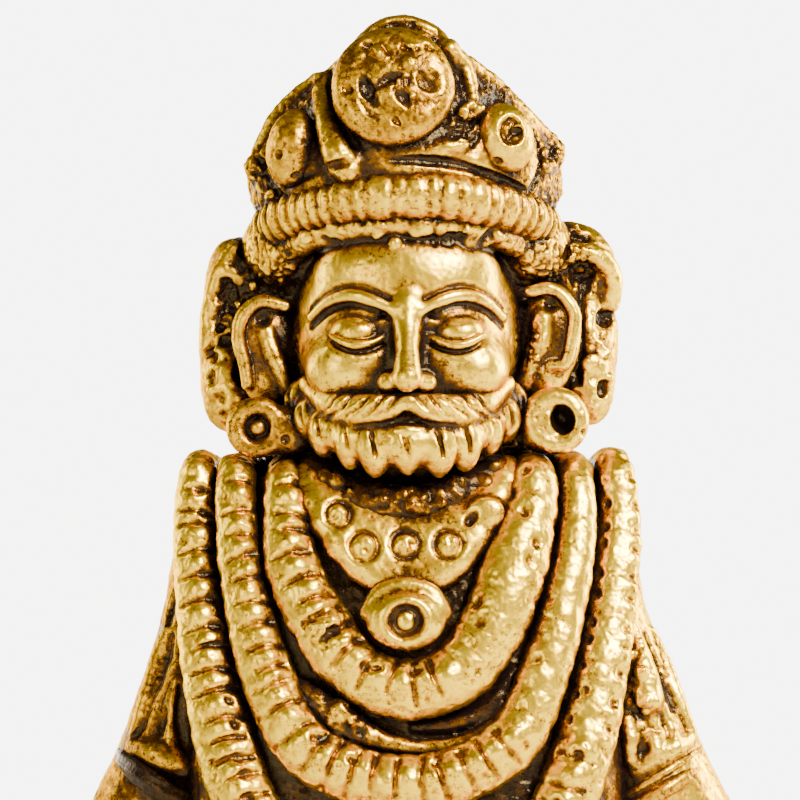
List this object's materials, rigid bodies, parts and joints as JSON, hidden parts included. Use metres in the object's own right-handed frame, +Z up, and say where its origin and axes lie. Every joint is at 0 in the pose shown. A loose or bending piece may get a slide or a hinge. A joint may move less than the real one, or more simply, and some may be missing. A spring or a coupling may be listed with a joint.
{
  "type": "cast brass figurine",
  "caption": "Seated bearded figurine in antiqued cast brass, with a domed jewelled crown, ring earrings, ribbed garlands and a moulded pedestal; stands on a shelf as decoration.",
  "frame": {"origin": "centre of the felt's underside, where the figurine stands", "axes": "+Z up through the crown; the figure faces -Y; names say left for -X and right for +X, as seen from in front"},
  "size_m": [0.088, 0.06, 0.125],
  "materials": {
    "antique_brass": "antiqued, dark patina in the recesses",
    "rubbed_brass": "antiqued, rubbed bright on the raised parts",
    "dark_brass": "antiqued, mostly dark patina",
    "turned_brass": "plain turned",
    "steel": "zinc plated",
    "felt": "matt felt"
  },
  "bodies": {
    "root": {"torso": "antique_brass", "crossed_legs": "antique_brass", "arm_left": "antique_brass", "arm_right": "antique_brass", "head": "antique_brass", "crown_cap": "antique_brass", "side_curls_left": "antique_brass", "side_curls_right": "antique_brass", "garland_inner": "rubbed_brass", "garland_middle": "rubbed_brass", "garland_outer": "rubbed_brass", "crown_band": "rubbed_brass", "crown_medallion": "rubbed_brass", "crown_boss_left": "rubbed_brass", "crown_boss_right": "rubbed_brass", "collar": "rubbed_brass", "pendant": "rubbed_brass", "earring_left": "rubbed_brass", "earring_right": "rubbed_brass", "pedestal": "dark_brass", "armlet_left": "dark_brass", "armlet_right": "dark_brass", "neck_dowel": "turned_brass", "crown_dowel": "turned_brass", "base_bolt": "steel", "base_washer": "steel", "felt_pad": "felt"}
  },
  "joints": []
}
